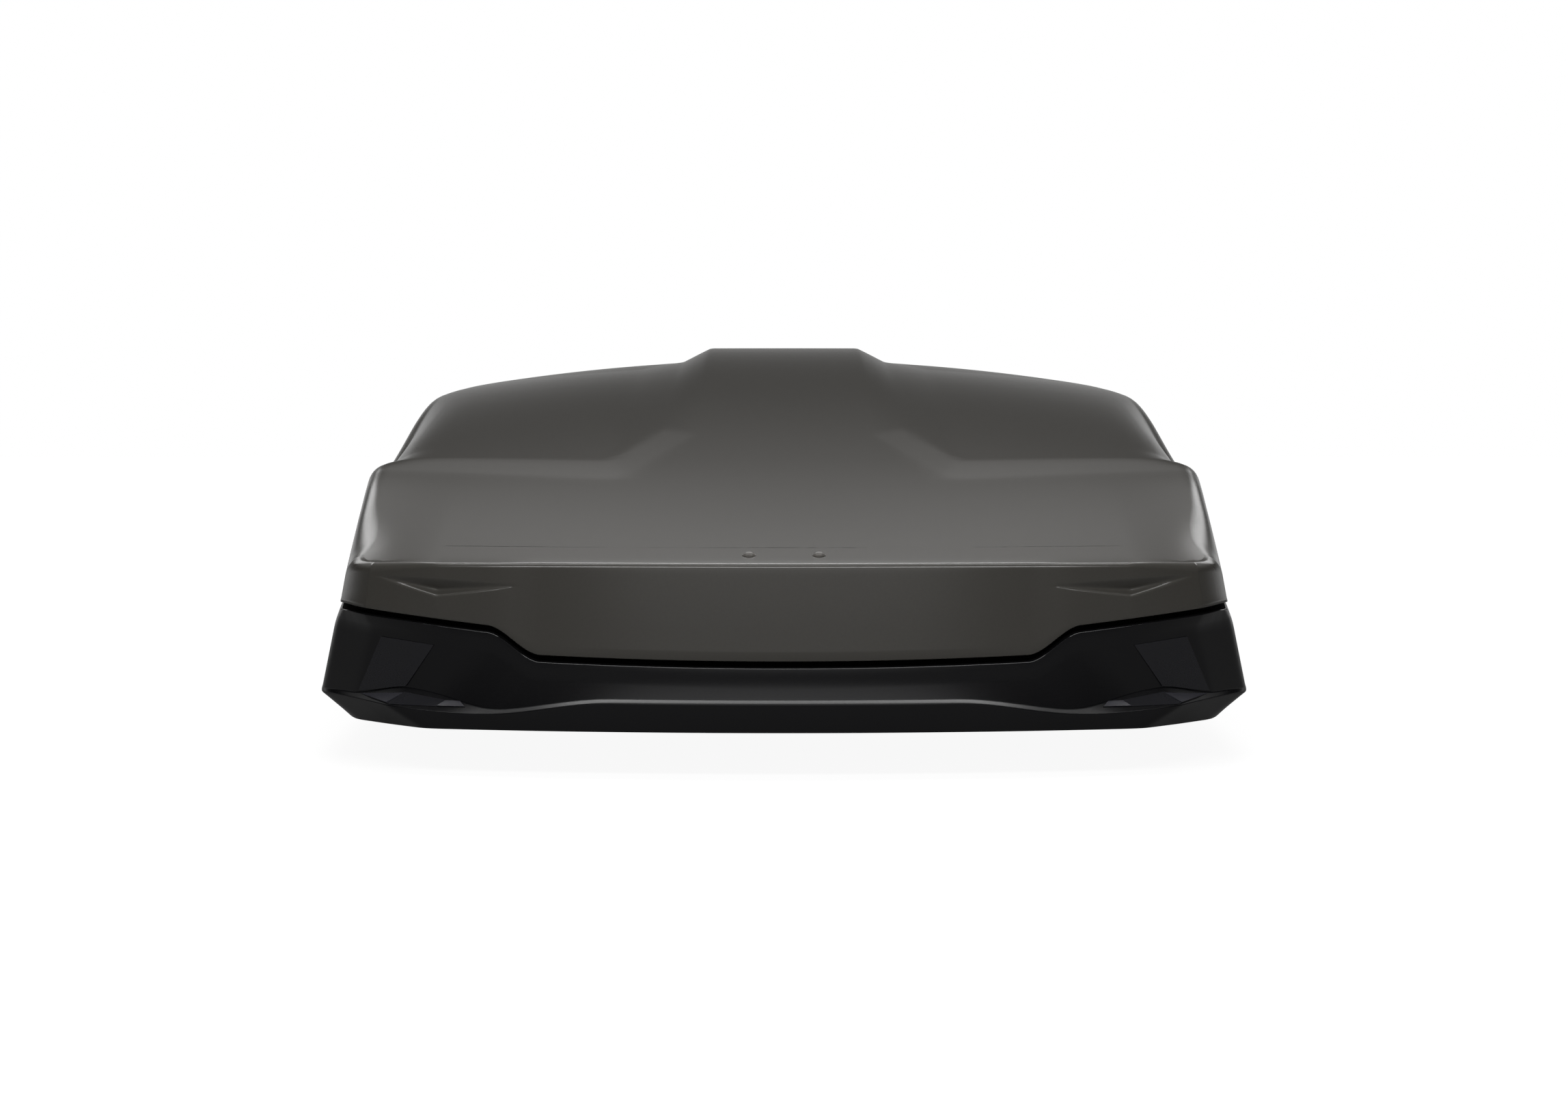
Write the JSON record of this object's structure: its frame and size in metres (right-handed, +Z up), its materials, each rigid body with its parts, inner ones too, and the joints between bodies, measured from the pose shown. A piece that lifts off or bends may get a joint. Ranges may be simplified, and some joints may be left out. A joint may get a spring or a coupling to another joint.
{
  "type": "roof cargo box",
  "caption": "Long low roof cargo box with a side-hinged two-part shell, folding lid stays, a central lock bar and sliding crossbar clamps.",
  "frame": {"origin": "middle of the box's length and width, on the plane that the closed claws' lowest points lie in", "axes": "+Z up, -Y towards the nose, +X towards the lock side; left and right are as seen from in front of the nose"},
  "size_m": [0.9448, 1.95, 0.402],
  "materials": {
    "base_plastic": "smooth satin",
    "lid_plastic": "fine-grained satin",
    "rail_steel": "zinc plated",
    "dark_rivet": "satin black",
    "lid_rivet": "satin grey",
    "pad_rubber": "matte",
    "clamp_nylon": "moulded",
    "pin_steel": "plated",
    "jaw_steel": "black coated",
    "knob_plastic": "moulded",
    "hinge_steel": "black coated",
    "brace_aluminium": "mill finish",
    "bracket_steel": "zinc plated",
    "arm_steel": "black coated",
    "spring_steel": "oiled",
    "fitting_plastic": "moulded",
    "lock_plastic": "moulded",
    "key_metal": "polished",
    "bar_aluminium": "mill finish"
  },
  "bodies": {
    "base": {"base_shell": "base_plastic", "base_floor": "base_plastic", "floor_rails": "rail_steel", "floor_rivets": "dark_rivet", "seat_pads": "pad_rubber", "front_base_leaf": "hinge_steel", "middle_base_leaf": "hinge_steel", "rear_base_leaf": "hinge_steel", "hinge_pins": "pin_steel", "upstand_rivets": "dark_rivet", "front_stay_foot": "bracket_steel", "rear_stay_foot": "bracket_steel", "foot_pins": "pin_steel", "strikers": "bracket_steel"},
    "lid": {"lid_shell": "lid_plastic", "front_lid_leaf": "hinge_steel", "middle_lid_leaf": "hinge_steel", "rear_lid_leaf": "hinge_steel", "lid_rivets": "lid_rivet", "front_lid_brace": "brace_aluminium", "rear_lid_brace": "brace_aluminium", "front_stay_bracket": "bracket_steel", "rear_stay_bracket": "bracket_steel", "crown_pins": "pin_steel", "nose_bracket": "bracket_steel", "lock_housing": "fitting_plastic", "lock_backplate": "bracket_steel", "bar_guides": "fitting_plastic"},
    "front_lower_link": {"front_lower_arm": "arm_steel", "front_knee_pin": "pin_steel", "front_knee_spring": "spring_steel"},
    "rear_lower_link": {"rear_lower_arm": "arm_steel", "rear_knee_pin": "pin_steel", "rear_knee_spring": "spring_steel"},
    "front_upper_link": {"front_upper_arm": "arm_steel"},
    "rear_upper_link": {"rear_upper_arm": "arm_steel"},
    "lock_turner": {"lock_knob": "lock_plastic", "lock_crank": "bracket_steel"},
    "key": {"key_cylinder": "key_metal"},
    "lock_bar": {"locking_bar": "bar_aluminium"},
    "front_left_slider": {"front_left_carriage": "clamp_nylon", "front_left_jaw_pins": "pin_steel"},
    "front_left_knob": {"front_left_clamp_knob": "knob_plastic"},
    "front_left_front_claw": {"front_left_front_jaw": "jaw_steel"},
    "front_left_rear_claw": {"front_left_rear_jaw": "jaw_steel"},
    "front_right_slider": {"front_right_carriage": "clamp_nylon", "front_right_jaw_pins": "pin_steel"},
    "front_right_knob": {"front_right_clamp_knob": "knob_plastic"},
    "front_right_front_claw": {"front_right_front_jaw": "jaw_steel"},
    "front_right_rear_claw": {"front_right_rear_jaw": "jaw_steel"},
    "rear_left_slider": {"rear_left_carriage": "clamp_nylon", "rear_left_jaw_pins": "pin_steel"},
    "rear_left_knob": {"rear_left_clamp_knob": "knob_plastic"},
    "rear_left_front_claw": {"rear_left_front_jaw": "jaw_steel"},
    "rear_left_rear_claw": {"rear_left_rear_jaw": "jaw_steel"},
    "rear_right_slider": {"rear_right_carriage": "clamp_nylon", "rear_right_jaw_pins": "pin_steel"},
    "rear_right_knob": {"rear_right_clamp_knob": "knob_plastic"},
    "rear_right_front_claw": {"rear_right_front_jaw": "jaw_steel"},
    "rear_right_rear_claw": {"rear_right_rear_jaw": "jaw_steel"}
  },
  "joints": [
    {"name": "lid_hinge", "type": "hinge", "parent": "base", "child": "lid", "pos_m": [-0.446, 0, 0.17], "axis": [0, -1, 0], "range_deg": [0, 42]},
    {"name": "front_foot_pivot", "type": "hinge", "parent": "base", "child": "front_lower_link", "pos_m": [-0.298, -0.575, 0.104], "axis": [0, -1, 0], "range_deg": [0, 42]},
    {"name": "front_crown_pivot", "type": "hinge", "parent": "lid", "child": "front_upper_link", "pos_m": [-0.196, -0.575, 0.221], "axis": [0, -1, 0], "range_deg": [-42, 0]},
    {"name": "rear_foot_pivot", "type": "hinge", "parent": "base", "child": "rear_lower_link", "pos_m": [-0.298, 0.705, 0.104], "axis": [0, -1, 0], "range_deg": [0, 42]},
    {"name": "rear_crown_pivot", "type": "hinge", "parent": "lid", "child": "rear_upper_link", "pos_m": [-0.196, 0.705, 0.267], "axis": [0, -1, 0], "range_deg": [-42, 0]},
    {"name": "lock_turn", "type": "hinge", "parent": "lid", "child": "lock_turner", "pos_m": [0.45548, 0, 0.216], "axis": [0.999, 0, 0.045], "range_deg": [0, 90.01]},
    {"name": "key_turn", "type": "hinge", "parent": "lock_turner", "child": "key", "pos_m": [0.45548, 0, 0.216], "axis": [0.999, 0, 0.045], "range_deg": [0, 90]},
    {"name": "bar_slide", "type": "slide", "parent": "lid", "child": "lock_bar", "axis": [0, 1, 0], "range_m": [0, 0.018]},
    {"name": "front_left_slide", "type": "slide", "parent": "base", "child": "front_left_slider", "axis": [0, 1, 0], "range_m": [-0.11, 0.11]},
    {"name": "front_left_knob_turn", "type": "hinge", "parent": "front_left_slider", "child": "front_left_knob", "pos_m": [-0.298, -0.335, 0.089], "axis": [0, 0, 1], "range_deg": [0, 720]},
    {"name": "front_left_front_claw_swing", "type": "hinge", "parent": "front_left_slider", "child": "front_left_front_claw", "pos_m": [-0.298, -0.375, 0.068], "axis": [-1, 0, 0], "range_deg": [0, 22.01]},
    {"name": "front_left_rear_claw_swing", "type": "hinge", "parent": "front_left_slider", "child": "front_left_rear_claw", "pos_m": [-0.298, -0.295, 0.068], "axis": [1, 0, 0], "range_deg": [0, 22.01]},
    {"name": "front_right_slide", "type": "slide", "parent": "base", "child": "front_right_slider", "axis": [0, 1, 0], "range_m": [-0.11, 0.11]},
    {"name": "front_right_knob_turn", "type": "hinge", "parent": "front_right_slider", "child": "front_right_knob", "pos_m": [0.298, -0.335, 0.089], "axis": [0, 0, 1], "range_deg": [0, 720]},
    {"name": "front_right_front_claw_swing", "type": "hinge", "parent": "front_right_slider", "child": "front_right_front_claw", "pos_m": [0.298, -0.375, 0.068], "axis": [-1, 0, 0], "range_deg": [0, 22.01]},
    {"name": "front_right_rear_claw_swing", "type": "hinge", "parent": "front_right_slider", "child": "front_right_rear_claw", "pos_m": [0.298, -0.295, 0.068], "axis": [1, 0, 0], "range_deg": [0, 22.01]},
    {"name": "rear_left_slide", "type": "slide", "parent": "base", "child": "rear_left_slider", "axis": [0, 1, 0], "range_m": [-0.11, 0.11]},
    {"name": "rear_left_knob_turn", "type": "hinge", "parent": "rear_left_slider", "child": "rear_left_knob", "pos_m": [-0.298, 0.355, 0.089], "axis": [0, 0, 1], "range_deg": [0, 720]},
    {"name": "rear_left_front_claw_swing", "type": "hinge", "parent": "rear_left_slider", "child": "rear_left_front_claw", "pos_m": [-0.298, 0.315, 0.068], "axis": [-1, 0, 0], "range_deg": [0, 22.01]},
    {"name": "rear_left_rear_claw_swing", "type": "hinge", "parent": "rear_left_slider", "child": "rear_left_rear_claw", "pos_m": [-0.298, 0.395, 0.068], "axis": [1, 0, 0], "range_deg": [0, 22.01]},
    {"name": "rear_right_slide", "type": "slide", "parent": "base", "child": "rear_right_slider", "axis": [0, 1, 0], "range_m": [-0.11, 0.11]},
    {"name": "rear_right_knob_turn", "type": "hinge", "parent": "rear_right_slider", "child": "rear_right_knob", "pos_m": [0.298, 0.355, 0.089], "axis": [0, 0, 1], "range_deg": [0, 720]},
    {"name": "rear_right_front_claw_swing", "type": "hinge", "parent": "rear_right_slider", "child": "rear_right_front_claw", "pos_m": [0.298, 0.315, 0.068], "axis": [-1, 0, 0], "range_deg": [0, 22.01]},
    {"name": "rear_right_rear_claw_swing", "type": "hinge", "parent": "rear_right_slider", "child": "rear_right_rear_claw", "pos_m": [0.298, 0.395, 0.068], "axis": [1, 0, 0], "range_deg": [0, 22.01]}
  ],
  "couplings": [
    {"joint": "front_foot_pivot", "follows": "lid_hinge", "ratio": 1},
    {"joint": "front_crown_pivot", "follows": "lid_hinge", "ratio": -1},
    {"joint": "rear_foot_pivot", "follows": "lid_hinge", "ratio": 1},
    {"joint": "rear_crown_pivot", "follows": "lid_hinge", "ratio": -1},
    {"joint": "lock_turn", "follows": "bar_slide", "rad_per_m": 87.266},
    {"joint": "front_left_front_claw_swing", "follows": "front_left_knob_turn", "ratio": 0.030556},
    {"joint": "front_left_rear_claw_swing", "follows": "front_left_knob_turn", "ratio": 0.030556},
    {"joint": "front_right_front_claw_swing", "follows": "front_right_knob_turn", "ratio": 0.030556},
    {"joint": "front_right_rear_claw_swing", "follows": "front_right_knob_turn", "ratio": 0.030556},
    {"joint": "rear_left_front_claw_swing", "follows": "rear_left_knob_turn", "ratio": 0.030556},
    {"joint": "rear_left_rear_claw_swing", "follows": "rear_left_knob_turn", "ratio": 0.030556},
    {"joint": "rear_right_front_claw_swing", "follows": "rear_right_knob_turn", "ratio": 0.030556},
    {"joint": "rear_right_rear_claw_swing", "follows": "rear_right_knob_turn", "ratio": 0.030556}
  ]
}
